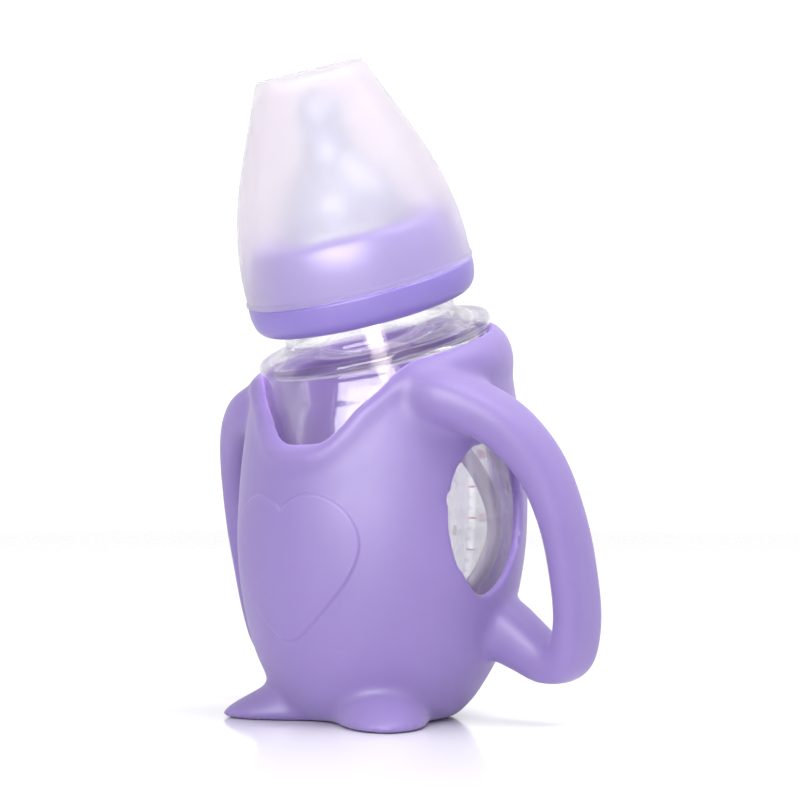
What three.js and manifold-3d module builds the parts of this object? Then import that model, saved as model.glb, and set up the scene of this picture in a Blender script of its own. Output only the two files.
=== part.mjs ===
// A penguin-shaped baby bottle: a glass bottle with a forward-tilted neck in a silicone sleeve with
// two wing handles and two feet, a screw collar, a teat with a weighted straw, and a dome cap.
// Millimetres, +Z up, front at -Y, origin on the floor under the middle of the body.

import * as THREE from 'three';
import { mergeVertices } from 'three/addons/utils/BufferGeometryUtils.js';
import Module from 'manifold-3d';

const wasm = await Module();
wasm.setup();

const TURN = Math.PI * 2;

// Body and neck axis
const NECK_TILT = THREE.MathUtils.degToRad(20.5);
const LEAN = 0.05; // the lower body leans back by this slope
const LEAN_END = 60;
const BEND_START = 81; // heights along the centre line between which the body turns into the neck
const BEND_END = 101;
const SLEEVE_WALL = 3;
const GLASS_WALL = 2.2;
const GAP = 0.3; // clearance between neighbouring pieces

// Sleeve
const BASE_RADIUS = 19.5;
const RIM_HEIGHT = 99.5; // the sleeve's rim, along the centre line, at the back
const NECKLINE_BOTTOM = 72; // the rim at the bottom of the front neckline
const BAND_WIDTH = 6.5;
const BAND_RISE = 1.1;

// Bottle neck, measured up the tilted axis from the shoulder ring
const RING_RADIUS = 32;
const NECK_RADIUS = 23.5;
const NECK_TOP = 27;
const THREAD_PITCH = 4.5;
const THREAD_TURNS = 1.25;
const THREAD_DEPTH = 1.4;

// Collar and cap, measured up the tilted axis
const COLLAR_BOTTOM = 9;
const SEAM = 17.4;
const COLLAR_TOP = 32;
const CAP_TOP = 75;
const CAP_WALL = 1.5;
const CAP_RADIUS = 31;

// Straw and its weight
const TUBE_RADIUS = 2.2;
const TUBE_BORE = 1.3;
const BALL_RADIUS = 4.6;
const HOUSING_RADIUS = 6.8;

const BODY_STEPS = 40; // steps round the body and the sleeve
const HEAD_STEPS = 32; // steps round the pieces on the neck
const LEVELS = [8, 17, 26, 35, 44, 53, 62, 71, 80, 89]; // heights where the body's walls have rings

const material = (name, color, roughness, opacity = 1) => new THREE.MeshStandardMaterial({
  name, color, roughness, metalness: name === 'steel' ? 1 : 0, opacity, transparent: opacity < 1,
});

// ---- The bent centre line ----------------------------------------------------------------------

// Turns a height along the centre line into the centre point and the tilt there.
function centreLine(s) {
  const lean = LEAN * Math.min(s, LEAN_END);
  if (s <= BEND_START) return { y: lean, z: s, tilt: 0 };
  const arc = (BEND_END - BEND_START) / NECK_TILT;
  const tilt = Math.min((s - BEND_START) / arc, NECK_TILT);
  const straight = Math.max(s - BEND_END, 0);
  return {
    y: lean - arc * (1 - Math.cos(tilt)) - straight * Math.sin(NECK_TILT),
    z: BEND_START + arc * Math.sin(tilt) + straight * Math.cos(NECK_TILT),
    tilt,
  };
}

// Carries a point given by its offset from the centre line and its height along it into the model.
function bendPoint(x, y, s) {
  const c = centreLine(s);
  return new THREE.Vector3(x, c.y + y * Math.cos(c.tilt), c.z + y * Math.sin(c.tilt));
}

function mapVertices(geometry, map) {
  const position = geometry.getAttribute('position');
  for (let i = 0; i < position.count; i += 1) {
    const p = map(new THREE.Vector3().fromBufferAttribute(position, i));
    position.setXYZ(i, p.x, p.y, p.z);
  }
  return geometry;
}

const bend = (geometry) => mapVertices(geometry, (p) => bendPoint(p.x, p.y, p.z));

// ---- Solids ------------------------------------------------------------------------------------

function closed(geometry) {
  geometry.deleteAttribute('normal');
  geometry.deleteAttribute('uv');
  return mergeVertices(geometry, 1e-4);
}

function solid(geometry) {
  const merged = closed(geometry);
  return new wasm.Manifold(new wasm.Mesh({
    numProp: 3,
    vertProperties: new Float32Array(merged.getAttribute('position').array),
    triVerts: new Uint32Array(merged.index.array),
  }));
}

function geometryOf(manifold) {
  const mesh = manifold.getMesh();
  const geometry = new THREE.BufferGeometry();
  geometry.setAttribute('position', new THREE.BufferAttribute(mesh.vertProperties, 3));
  geometry.setIndex(new THREE.BufferAttribute(mesh.triVerts, 1));
  return geometry;
}

// Turns a profile of [radius, height] points about Z.
function turned(profile, around = HEAD_STEPS) {
  const points = profile.map(([r, h]) => new THREE.Vector2(r, h));
  return new THREE.LatheGeometry(points, around).rotateX(Math.PI / 2);
}

// A smooth row of [radius, height] points through the given ones.
function smooth(points, steps) {
  const curve = new THREE.CatmullRomCurve3(points.map(([r, h]) => new THREE.Vector3(r, h, 0)));
  return curve.getPoints(steps).map((p) => [p.x, p.y]);
}

function outline(points) {
  return new THREE.Shape(points.map(([x, y]) => new THREE.Vector2(x, y)));
}

function smoothOutline(points, steps) {
  const flat = points.map(([x, y]) => new THREE.Vector3(x, y, 0));
  const curve = new THREE.CatmullRomCurve3(flat, true);
  return new THREE.Shape(curve.getPoints(steps).map((p) => new THREE.Vector2(p.x, p.y)));
}

// Extrudes an outline drawn in X and Z along Y, from one Y to another.
function alongY(shape, from, to) {
  const geometry = new THREE.ExtrudeGeometry(shape, { depth: to - from, bevelEnabled: false });
  return geometry.rotateX(Math.PI / 2).translate(0, to, 0);
}

// Extrudes an outline drawn in Y and Z along X, from one X to another.
function alongX(shape, from, to) {
  const geometry = new THREE.ExtrudeGeometry(shape, { depth: to - from, bevelEnabled: false });
  return geometry.rotateX(Math.PI / 2).rotateZ(Math.PI / 2).translate(from, 0, 0);
}

// A screw thread: a trapezoid rib wound up the neck axis, fading out at both ends.
function thread(rootRadius, depth, start) {
  const half = 0.9;
  const section = outline([[-0.4, -half], [1, -half * 0.5], [1, half * 0.5], [-0.4, half]]);
  const rib = new THREE.ExtrudeGeometry(section, { depth: 1, steps: 28, bevelEnabled: false });
  return mapVertices(rib, (p) => {
    const angle = p.z * TURN * THREAD_TURNS;
    const fade = Math.min(1, Math.min(p.z, 1 - p.z) * 10 + 0.15);
    const radius = rootRadius + (p.x < 0 ? p.x : p.x * fade * depth);
    const height = start + p.y + THREAD_PITCH * (angle / TURN);
    return new THREE.Vector3(radius * Math.cos(angle), radius * Math.sin(angle), height);
  });
}

// Puts a piece made about its own Z axis on to the neck axis, with its zero at the shoulder ring.
function onNeck(geometry) {
  const foot = centreLine(BEND_END);
  return geometry.rotateX(NECK_TILT).translate(0, foot.y, foot.z);
}

// ---- Silicone sleeve ---------------------------------------------------------------------------

// The sleeve's outer radius at a height along the centre line.
const BODY_CURVE = new THREE.CatmullRomCurve3([
  [BASE_RADIUS, 0], [23.6, 2.2], [28, 8], [33.2, 18], [37.1, 32], [39, 46], [39.1, 60],
  [37.9, 73], [36, 86], [34.6, 97], [34.2, 104],
].map(([r, s]) => new THREE.Vector3(r, s, 0)));
const BODY_POINTS = BODY_CURVE.getPoints(120);

function bodyRadius(s) {
  const next = BODY_POINTS.findIndex((p) => p.y >= s);
  if (next <= 0) return BASE_RADIUS;
  const [a, b] = [BODY_POINTS[next - 1], BODY_POINTS[next]];
  return a.x + (b.x - a.x) * (s - a.y) / (b.y - a.y);
}

// The height of the sleeve's rim, by the angle from the front: low at the front neckline, level behind.
function rimHeight(angle) {
  const open = THREE.MathUtils.smoothstep(Math.abs(angle), 0.25, 1);
  return NECKLINE_BOTTOM + (RIM_HEIGHT - NECKLINE_BOTTOM) * open;
}

// Squeezes the part above a fixed height so that its top follows the neckline, keeping the wall.
function followNeckline(geometry) {
  const fixed = 50;
  return mapVertices(geometry, (p) => {
    if (p.z <= fixed) return bendPoint(p.x, p.y, p.z);
    const radius = Math.hypot(p.x, p.y);
    const angle = Math.atan2(p.x, -p.y);
    const rim = rimHeight(angle);
    const bandStart = RIM_HEIGHT - BAND_WIDTH;
    const squeeze = (rim - BAND_WIDTH - fixed) / (bandStart - fixed);
    const s = p.z > bandStart ? rim + p.z - RIM_HEIGHT : fixed + (p.z - fixed) * squeeze;
    const moved = radius + bodyRadius(s) - bodyRadius(p.z);
    return bendPoint(p.x * moved / radius, p.y * moved / radius, s);
  });
}

// The sleeve's outside, from the corner of its base to its rim, moved out by a margin.
function sleeveOutside(margin) {
  const band = [0, 0.25, 0.6, 0.9].map((part) => {
    const s = RIM_HEIGHT - BAND_WIDTH * (1 - part);
    return [bodyRadius(s) + margin + BAND_RISE * Math.sin(Math.PI * part), s];
  });
  const wall = [2.2, ...LEVELS].map((s) => [bodyRadius(s) + margin, s]);
  return [[BASE_RADIUS + margin, 0], ...wall, ...band];
}

function sleeveProfile() {
  const inner = LEVELS.map((s) => [bodyRadius(s) - SLEEVE_WALL, s]);
  const lip = [
    [bodyRadius(RIM_HEIGHT) - 0.8, RIM_HEIGHT], [bodyRadius(RIM_HEIGHT) - 2.2, RIM_HEIGHT],
    [bodyRadius(RIM_HEIGHT) - SLEEVE_WALL, RIM_HEIGHT - 0.8],
  ];
  const floor = [[BASE_RADIUS - 1.5, SLEEVE_WALL], [0, SLEEVE_WALL]];
  return [[0, 0], ...sleeveOutside(0), ...lip, ...inner.reverse(), ...floor];
}

// Side window: an oval in Y and Z, cut through both sides.
function sideWindows() {
  const shape = smoothOutline([[-1, 33.4], [8, 37], [14.6, 46], [16, 57], [12.4, 67], [4, 72],
    [-5, 70.2], [-11, 62], [-12.5, 52], [-9, 41]], 36);
  return alongX(shape, -60, 60);
}

// Back window: a tall oval in X and Z.
function backWindow() {
  const shape = smoothOutline([[0, 26], [9, 33], [12.5, 50], [12.5, 66], [9, 81], [0, 87], [-9, 81],
    [-12.5, 66], [-12.5, 50], [-9, 33]], 40);
  return alongY(shape, 5, 60);
}

function sleeveShell() {
  const shell = solid(followNeckline(turned(sleeveProfile(), BODY_STEPS)));
  return geometryOf(shell.subtract(solid(sideWindows())).subtract(solid(backWindow())));
}

// The body's outer skin as a solid block, grown by the gap, which wings and feet are trimmed to.
function bodyBlock() {
  const under = [[0, -1], [BASE_RADIUS + GAP, -1]];
  const top = BEND_END + 3; // over the bottle's shoulder ring too
  const plain = [0, 2.2, ...LEVELS, top].map((s) => [bodyRadius(s) + GAP, s]);
  const filled = solid(bend(turned([...under, ...plain, [0, top]], BODY_STEPS)));
  const banded = [...under, ...sleeveOutside(GAP), [0, RIM_HEIGHT - 1]];
  return filled.add(solid(followNeckline(turned(banded, BODY_STEPS))));
}

// The wing's outlines: from the front (X, Z), the finger gap in it, from the side (Y, Z), from above.
const WING_FRONT = [
  [28, 91], [37, 89.5], [43.5, 86], [51, 80], [56.6, 73], [60.4, 62], [61.4, 50], [61.6, 38], [61, 30],
  [58.8, 22], [55, 15.5], [48, 11.3], [41, 12.6], [35, 15.6], [24, 21],
];
const WING_GAP = [
  [30, 77], [38, 75], [44, 69.5], [48.4, 62.6], [51.8, 56], [53.4, 48], [53.9, 38], [53.4, 28], [51, 22.2],
  [47, 23.8], [42, 27.8], [30, 36],
];
const WING_SIDE = [
  [-22, 80], [-18, 87], [-10, 92], [-2, 93], [4, 90], [5.5, 81], [8, 70], [11, 60], [14.4, 50], [17.6, 40],
  [20, 28], [21, 17], [20, 8], [11, 8], [8.4, 19], [6.6, 29], [4.4, 39], [1.8, 47], [-0.8, 55], [-3, 62],
  [-6, 69], [-12, 74.5], [-19, 77.5],
];
const WING_PLAN = [
  [20, -26], [30, -22], [39, -15.5], [48, -11], [56, -7.5], [62, -2], [64, 8], [63.5, 20], [56, 26], [20, 26],
];

// One wing handle: what its front, side and top outlines share, less the finger gap and the body.
function wing(side) {
  const mirror = new THREE.Matrix4().makeScale(side, 1, 1);
  const ring = alongY(smoothOutline(WING_FRONT, 60), -40, 60);
  const gap = alongY(smoothOutline(WING_GAP, 48), -50, 70);
  const strap = alongX(smoothOutline(WING_SIDE, 48), 20, 80);
  const plan = new THREE.ExtrudeGeometry(smoothOutline(WING_PLAN, 30), { depth: 120, bevelEnabled: false });
  const sweep = solid(strap).intersect(solid(plan));
  const made = solid(ring).subtract(solid(gap)).intersect(sweep).subtract(bodyBlock());
  const geometry = geometryOf(largestPiece(made));
  if (side > 0) return geometry;
  geometry.applyMatrix4(mirror);
  return flipped(geometry);
}

function largestPiece(manifold) {
  return manifold.decompose().sort((a, b) => b.volume() - a.volume())[0];
}

function flipped(geometry) {
  const index = geometry.index.array;
  for (let i = 0; i < index.length; i += 3) {
    [index[i], index[i + 1]] = [index[i + 1], index[i]];
  }
  return geometry;
}

// One foot: a flattened egg pointing forward and out, flat underneath, trimmed to the body.
function foot(side) {
  const egg = new THREE.SphereGeometry(1, 24, 14).scale(12.5, 24, 12);
  const turn = side * THREE.MathUtils.degToRad(46);
  egg.translate(0, -17.5, 0).rotateZ(turn);
  const under = new THREE.BoxGeometry(120, 120, 40).translate(0, 0, -20);
  return geometryOf(largestPiece(solid(egg).subtract(solid(under)).subtract(bodyBlock())));
}

// ---- Glass bottle ------------------------------------------------------------------------------

function glassRadius(s) {
  return bodyRadius(s) - SLEEVE_WALL - GAP;
}

function glassProfile() {
  const foot0 = SLEEVE_WALL + GAP;
  const ringBase = BEND_END - 3;
  const outer = [[0, foot0 + 1.6], [11, foot0 + 1], [14.5, foot0], [BASE_RADIUS - 2.2, foot0]];
  for (const s of [...LEVELS, ringBase]) outer.push([glassRadius(s), s]);
  const ring = [[31, BEND_END - 1.2], [RING_RADIUS, BEND_END - 0.4], [RING_RADIUS + 0.2, BEND_END + 0.6],
    [RING_RADIUS - 0.8, BEND_END + 2.2], [28.6, BEND_END + 3.6], [26, BEND_END + 4.8], [24.4, BEND_END + 6.6],
    [NECK_RADIUS, BEND_END + 9.5]];
  const lip = [[NECK_RADIUS, BEND_END + NECK_TOP - 0.8], [NECK_RADIUS - 0.8, BEND_END + NECK_TOP],
    [NECK_RADIUS - GLASS_WALL, BEND_END + NECK_TOP]];
  const throat = [[NECK_RADIUS - GLASS_WALL, BEND_END + 7], [24, BEND_END + 2.4], [28.2, BEND_END - 0.4],
    [glassRadius(95) - GLASS_WALL, 95]];
  const inner = [10, ...LEVELS.slice(1)].map((s) => [glassRadius(s) - GLASS_WALL, s]).reverse();
  const floor = [[BASE_RADIUS - 2, 7.2], [10, 6.8], [0, 7.4]];
  return [...outer, ...ring, ...lip, ...throat, ...inner, ...floor];
}

function glassBottle() {
  const bottle = solid(bend(turned(glassProfile(), BODY_STEPS)));
  const start = NECK_TOP - 3.2 - THREAD_PITCH * THREAD_TURNS;
  return geometryOf(bottle.add(solid(onNeck(thread(NECK_RADIUS, THREAD_DEPTH, start)))));
}

// ---- Collar, teat and cap ----------------------------------------------------------------------

const COLLAR_BORE = NECK_RADIUS + THREAD_DEPTH + 0.5; // plain, clear of the bottle's thread
const COLLAR_STEP = CAP_RADIUS - CAP_WALL - GAP; // the collar under the cap's skirt
const TEAT_HOLE = 18.5;

function screwCollar() {
  const shelf = NECK_TOP + 2.6; // underside of the collar's top, over the teat's flange
  const profile = [
    [COLLAR_BORE, COLLAR_BOTTOM], [28.4, COLLAR_BOTTOM], [30.6, COLLAR_BOTTOM + 2.6],
    [CAP_RADIUS, COLLAR_BOTTOM + 5.4], [CAP_RADIUS, SEAM - 0.2], [COLLAR_STEP, SEAM - 0.2],
    [COLLAR_STEP - 1.6, 29.4], [COLLAR_STEP - 3.2, COLLAR_TOP],
    [TEAT_HOLE, COLLAR_TOP], [TEAT_HOLE, shelf], [COLLAR_BORE, shelf],
    [COLLAR_BORE, COLLAR_BOTTOM],
  ];
  return onNeck(turned(profile));
}

function teat() {
  const flange = NECK_TOP + GAP;
  const outer = smooth([[17.4, flange + 5], [17.2, 36], [15.6, 42], [11.6, 47.5], [8, 52], [6.6, 57], [6.4, 63],
    [5, 67.6], [1.8, 69.6]], 16);
  const inner = smooth([[1.4, 67.4], [3.6, 66], [4.8, 62], [5, 57], [6.4, 51.4], [10, 46.4], [13.8, 41.4],
    [15.4, 36], [15.4, flange + 4]], 14);
  const ring = [[15.4, flange], [22.4, flange], [22.4, flange + 2], [17.6, flange + 2]];
  const tip = [[0.6, 69.8], [0.6, 67.2]];
  return onNeck(turned([...outer, ...tip, ...inner, ...ring, outer[0]], 28));
}

function domeCap() {
  const outer = smooth([[30.9, SEAM + 2.4], [30.7, 26], [29.9, 33], [28.4, 40], [25.9, 48], [22.7, 56], [19.2, 64],
    [15.4, 72.8]], 12);
  const inner = outer.filter(([, h]) => h < 72).map(([r, h]) => [r - CAP_WALL, h]).reverse();
  const profile = [
    [CAP_RADIUS - CAP_WALL, SEAM + 0.1], [CAP_RADIUS + 0.5, SEAM + 0.1], [CAP_RADIUS + 0.5, SEAM + 1.3],
    ...outer, [14.2, CAP_TOP - 0.5], [13.2, CAP_TOP], [0, CAP_TOP], [0, CAP_TOP - CAP_WALL],
    [12.6, CAP_TOP - CAP_WALL], ...inner, [CAP_RADIUS - CAP_WALL, SEAM + 0.1],
  ];
  const notch = new THREE.BoxGeometry(6, 2.4, 0.8).translate(0, -CAP_RADIUS - 0.9, SEAM + 0.4);
  return geometryOf(solid(onNeck(turned(profile))).subtract(solid(onNeck(notch))));
}

// ---- Straw and weight --------------------------------------------------------------------------

const ADAPTOR_BOTTOM = NECK_TOP - 9;

function strawAdaptor() {
  const disc = NECK_TOP - 1.6;
  const profile = [
    [0.6, ADAPTOR_BOTTOM], [0.95, ADAPTOR_BOTTOM], [0.95, disc - 1.6], [3.4, disc - 1.6], [3.4, disc - 0.2],
    [14.6, disc - 0.2], [14.6, NECK_TOP + 4], [13.4, NECK_TOP + 4], [13.4, disc + 1.4], [3, disc + 1.4],
    [3, disc + 3.6], [0.6, disc + 3.6], [0.6, ADAPTOR_BOTTOM],
  ];
  const rim = [[14.5, NECK_TOP - 2.4], [20.6, NECK_TOP - 2.4], [20.6, NECK_TOP - 0.6], [14.5, NECK_TOP - 0.6],
    [14.5, NECK_TOP - 2.4]];
  let disced = solid(turned(profile, 28)).add(solid(turned(rim, 28)));
  for (let i = 0; i < 4; i += 1) {
    const vent = new THREE.CylinderGeometry(3.6, 3.6, 8, 16).rotateX(Math.PI / 2);
    vent.translate(8.3, 0, NECK_TOP).rotateZ(i * Math.PI / 2 + Math.PI / 4);
    disced = disced.subtract(solid(vent));
  }
  return onNeck(geometryOf(disced));
}

// The straw's route, from the adaptor down the bottle to the weight.
const TUBE_ROUTE = [
  neckPoint(NECK_TOP - 3.6), neckPoint(8), [0.4, -0.4, 100], [2.6, 1.6, 92], [10, 9, 81], [18.2, 17.6, 69],
  [22.4, 22.6, 56], [22.4, 22.2, 45], [17.8, 18.6, 34.4], [10.4, 13, 26.4], [3.4, 8.2, 21.8],
];

function neckPoint(t) {
  const p = bendPoint(0, 0, BEND_END + t);
  return [p.x, p.y, p.z];
}

function tubeCurve() {
  return new THREE.CatmullRomCurve3(TUBE_ROUTE.map((p) => new THREE.Vector3(...p)));
}

function strawTube() {
  const ring = new THREE.Shape().absarc(0, 0, TUBE_RADIUS, 0, TURN);
  ring.holes.push(new THREE.Path().absarc(0, 0, TUBE_BORE, 0, TURN));
  return new THREE.ExtrudeGeometry(ring, {
    extrudePath: tubeCurve(), steps: 36, curveSegments: 4, bevelEnabled: false,
  });
}

// Puts a weight piece made about its own Z axis (tube end up) at the end of the tube.
function atTubeEnd(geometry) {
  const curve = tubeCurve();
  const end = curve.getPoint(1);
  const up = curve.getTangent(1).negate();
  const turn = new THREE.Quaternion().setFromUnitVectors(new THREE.Vector3(0, 0, 1), up);
  return geometry.applyQuaternion(turn).translate(end.x, end.y, end.z);
}

function weightUpper() {
  const r = HOUSING_RADIUS;
  const profile = [
    [TUBE_RADIUS + GAP, 3], [TUBE_RADIUS + GAP, -0.4], [1, -0.4], [1, -1.6], [4.4, -2.6], [r - 1.2, -4.4],
    [r - 1.2, -7.2], [r, -7.2], [r, -3.6], [5.4, -1.4], [TUBE_RADIUS + 1.6, 0.4], [TUBE_RADIUS + 1.4, 3],
    [TUBE_RADIUS + GAP, 3],
  ];
  return atTubeEnd(turned(profile, 20));
}

function weightLower() {
  const r = HOUSING_RADIUS;
  const profile = [
    [r - 1.2, -7.5], [r - 1.2, -9.6], [4.6, -11.4], [3.2, -12.4], [1.4, -12.9], [1.4, -14.2], [3.6, -13.8],
    [5.6, -12.4], [r, -10], [r, -7.5], [r - 1.2, -7.5],
  ];
  return atTubeEnd(turned(profile, 20));
}

function weightBall() {
  return atTubeEnd(new THREE.SphereGeometry(BALL_RADIUS, 16, 10).translate(0, 0, -7.6));
}

// ---- Assembly ----------------------------------------------------------------------------------

const silicone = () => material('lilac_silicone', 0xa89ad8, 0.62);
const PIECES = [
  ['silicone_sleeve_shell', sleeveShell(), silicone()],
  ['right_wing_handle', wing(1), silicone()],
  ['left_wing_handle', wing(-1), silicone()],
  ['right_foot', foot(1), silicone()],
  ['left_foot', foot(-1), silicone()],
  ['glass_bottle', glassBottle(), material('clear_glass', 0xe8f0f0, 0.05, 0.35)],
  ['screw_collar', screwCollar(), material('lilac_plastic', 0xaaa0e2, 0.4)],
  ['dome_cap', domeCap(), material('frosted_plastic', 0xf0ecf4, 0.5, 0.6)],
  ['teat', closed(teat()), material('clear_silicone', 0xe6e6ea, 0.35, 0.7)],
  ['straw_adaptor', strawAdaptor(), material('white_plastic', 0xf0eee8, 0.4)],
  ['straw_tube', closed(strawTube()), material('cream_silicone', 0xece4d8, 0.4)],
  ['weight_housing_upper', closed(weightUpper()), material('white_plastic', 0xf0eee8, 0.4)],
  ['weight_housing_lower', closed(weightLower()), material('white_plastic', 0xf0eee8, 0.4)],
  ['weight_ball', closed(weightBall()), material('steel', 0xc8c8cc, 0.2)],
];

const bottle = new THREE.Group();
for (const [name, geometry, look] of PIECES) {
  const mesh = new THREE.Mesh(geometry, look);
  mesh.name = name;
  bottle.add(mesh);
}

export default bottle;
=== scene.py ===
"""A penguin-shaped baby bottle: a glass bottle with a forward-tilted neck in a lilac silicone sleeve
with wing handles and feet, with a screw collar, a teat, a weighted straw and a frosted dome cap."""

import math

import bmesh
import bpy
from mathutils import Matrix, Vector


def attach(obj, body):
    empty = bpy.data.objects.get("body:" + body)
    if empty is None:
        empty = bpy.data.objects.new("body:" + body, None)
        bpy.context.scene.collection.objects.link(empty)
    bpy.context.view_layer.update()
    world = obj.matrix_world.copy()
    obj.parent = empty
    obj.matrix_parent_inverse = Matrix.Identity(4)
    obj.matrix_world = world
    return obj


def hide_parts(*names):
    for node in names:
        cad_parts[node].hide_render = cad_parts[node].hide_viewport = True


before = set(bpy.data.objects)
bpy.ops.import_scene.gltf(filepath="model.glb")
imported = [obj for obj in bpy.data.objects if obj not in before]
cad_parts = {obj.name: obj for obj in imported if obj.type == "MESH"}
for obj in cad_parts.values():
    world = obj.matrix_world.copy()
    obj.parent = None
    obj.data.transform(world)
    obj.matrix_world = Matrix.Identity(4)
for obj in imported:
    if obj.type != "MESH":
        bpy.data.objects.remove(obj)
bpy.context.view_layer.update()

# Shapes are drawn in millimetres and scaled to metres when a piece is finished.
MM = 0.001
TURN = 2 * math.pi

# Body and neck axis
NECK_TILT = math.radians(20.5)
LEAN = 0.05
LEAN_END = 60
BEND_START = 81
BEND_END = 101
SLEEVE_WALL = 3
GLASS_WALL = 2.2
GAP = 0.3

# Sleeve
BASE_RADIUS = 19.5
RIM_HEIGHT = 99.5
NECKLINE_BOTTOM = 72
NECKLINE_TURN = 0.11
BAND_WIDTH = 7
BAND_RISE = 1.5
HEART_RISE = 0.55
FOOT_SPLAY = math.radians(46)
VOXEL = 0.92

# Neck, collar and cap, measured up the tilted axis from the bottle's shoulder ring
NECK_RADIUS = 23.5
NECK_TOP = 27
THREAD_PITCH = 4.5
THREAD_TURNS = 1.25
THREAD_DEPTH = 1.4
BOTTLE_THREAD_START = NECK_TOP - 3.2 - THREAD_PITCH * THREAD_TURNS
COLLAR_BOTTOM = 9
COLLAR_THREAD_START = COLLAR_BOTTOM + 3.1
TEAT_HOLE = 18.5
VENT_RADIUS = 3.6
VENT_REACH = 8.3
NOTCH_TURN = math.radians(38)
SEAM = 17.4
COLLAR_TOP = 32
CAP_TOP = 75
CAP_WALL = 1.5
CAP_RADIUS = 31

# Straw and weight
TUBE_RADIUS = 2.2
TUBE_BORE = 1.3
BALL_RADIUS = 4.6
HOUSING_RADIUS = 6.8

# Stage, in metres, and the white surroundings: as they are seen, and as they light the bottle
FLOOR_REACH = 5.5
STAGE_MIDDLE = (0, 0, 0.09)
BACKDROP_SEEN = 1.12
BACKDROP_LIGHT = 0.74

BODY_OUTLINE = [
    (BASE_RADIUS, 0), (23.6, 2.2), (28, 8), (33.2, 18), (37.1, 32), (39, 46), (39.1, 60), (37.9, 73),
    (36, 86), (34.6, 97), (34.2, 104),
]


# ---- Curves and the bent centre line -----------------------------------------------------------

def smooth_row(points, per=8):
    """A Catmull-Rom row through the points, per steps between each two."""
    rows = [Vector(p) for p in points]
    rows = [rows[0] * 2 - rows[1], *rows, rows[-1] * 2 - rows[-2]]
    out = []
    for a, b, c, d in zip(rows, rows[1:], rows[2:], rows[3:]):
        for step in range(per):
            t = step / per
            out.append(0.5 * (2 * b + (c - a) * t + (2 * a - 5 * b + 4 * c - d) * t ** 2
                              + (3 * b - a - 3 * c + d) * t ** 3))
    return [*out, rows[-2].copy()]


def tangents(row):
    """The direction of a row at each of its points."""
    ends = [row[0], *row, row[-1]]
    return [(after - before).normalized() for before, after in zip(ends, ends[2:])]


def rounded(points):
    """A row of (radius, height, fillet) points with each corner turned into a curve as long as its fillet."""
    steps = 5
    rows = [(Vector(p[:2]), p[2] if len(p) > 2 else 0) for p in points]
    out = []
    for i, (corner, fillet) in enumerate(rows):
        if not fillet or i in (0, len(rows) - 1):
            out.append(corner)
            continue
        before, after = rows[i - 1][0] - corner, rows[i + 1][0] - corner
        reach = min(fillet, before.length * 0.49, after.length * 0.49)
        start, end = corner + before.normalized() * reach, corner + after.normalized() * reach
        for step in range(steps + 1):
            t = step / steps
            out.append(start * (1 - t) ** 2 + corner * 2 * t * (1 - t) + end * t ** 2)
    return out


BODY_ROW = smooth_row(BODY_OUTLINE, 12)


def body_radius(s):
    """The sleeve's outer radius at a height along the centre line."""
    for a, b in zip(BODY_ROW, BODY_ROW[1:]):
        if a.y <= s <= b.y:
            return a.x + (b.x - a.x) * (s - a.y) / (b.y - a.y)
    return BODY_ROW[0].x if s < 0 else BODY_ROW[-1].x


def centre_line(s):
    """The centre's Y and Z and the tilt at a height along the centre line."""
    lean = LEAN * min(s, LEAN_END)
    if s <= BEND_START:
        return lean, s, 0
    arc = (BEND_END - BEND_START) / NECK_TILT
    tilt = min((s - BEND_START) / arc, NECK_TILT)
    straight = max(s - BEND_END, 0)
    y = lean - arc * (1 - math.cos(tilt)) - straight * math.sin(NECK_TILT)
    return y, BEND_START + arc * math.sin(tilt) + straight * math.cos(NECK_TILT), tilt


def bend_point(p):
    y, z, tilt = centre_line(p.z)
    return Vector((p.x, y + p.y * math.cos(tilt), z + p.y * math.sin(tilt)))


NECK_FOOT = Vector((0, *centre_line(BEND_END)[:2]))
TO_NECK = Matrix.Translation(NECK_FOOT) @ Matrix.Rotation(NECK_TILT, 4, "X")


def ease(low, high, value):
    t = min(max((value - low) / (high - low), 0), 1)
    return t * t * (3 - 2 * t)


# ---- Mesh helpers ------------------------------------------------------------------------------

def spun(profile, steps=128):
    """A mesh turned about Z from a row of (radius, height) points that closes on itself or on the axis."""
    bm = bmesh.new()
    verts = [bm.verts.new((p[0], 0, p[1])) for p in profile]
    edges = [bm.edges.new(pair) for pair in zip(verts, verts[1:])]
    bmesh.ops.spin(bm, geom=verts + edges, cent=(0, 0, 0), axis=(0, 0, 1), angle=TURN, steps=steps,
                   use_merge=True)
    bmesh.ops.remove_doubles(bm, verts=bm.verts, dist=1e-4)
    bmesh.ops.recalc_face_normals(bm, faces=bm.faces)
    return bm


def ring_profile(points):
    """A rounded profile closed on itself."""
    return rounded([*points, points[0]])


def screw_rib(radius, depth, start):
    """A screw thread's rib: a trapezoid wound up the axis, inward where depth is negative."""
    bm = bmesh.new()
    steps = 96
    root, tip = radius - math.copysign(0.4, depth), radius + depth
    section = [(root, -0.9), (tip, -0.45), (tip, 0.45), (root, 0.9)]
    face = bm.faces.new([bm.verts.new((r, 0, start + h)) for r, h in section])
    rise = THREAD_PITCH * THREAD_TURNS / steps
    bmesh.ops.spin(bm, geom=[face, *face.verts, *face.edges], cent=(0, 0, 0), axis=(0, 0, 1),
                   angle=TURN * THREAD_TURNS, steps=steps, dvec=(0, 0, rise))
    bmesh.ops.remove_doubles(bm, verts=bm.verts, dist=1e-4)
    bmesh.ops.recalc_face_normals(bm, faces=bm.faces)
    return bm


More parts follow.
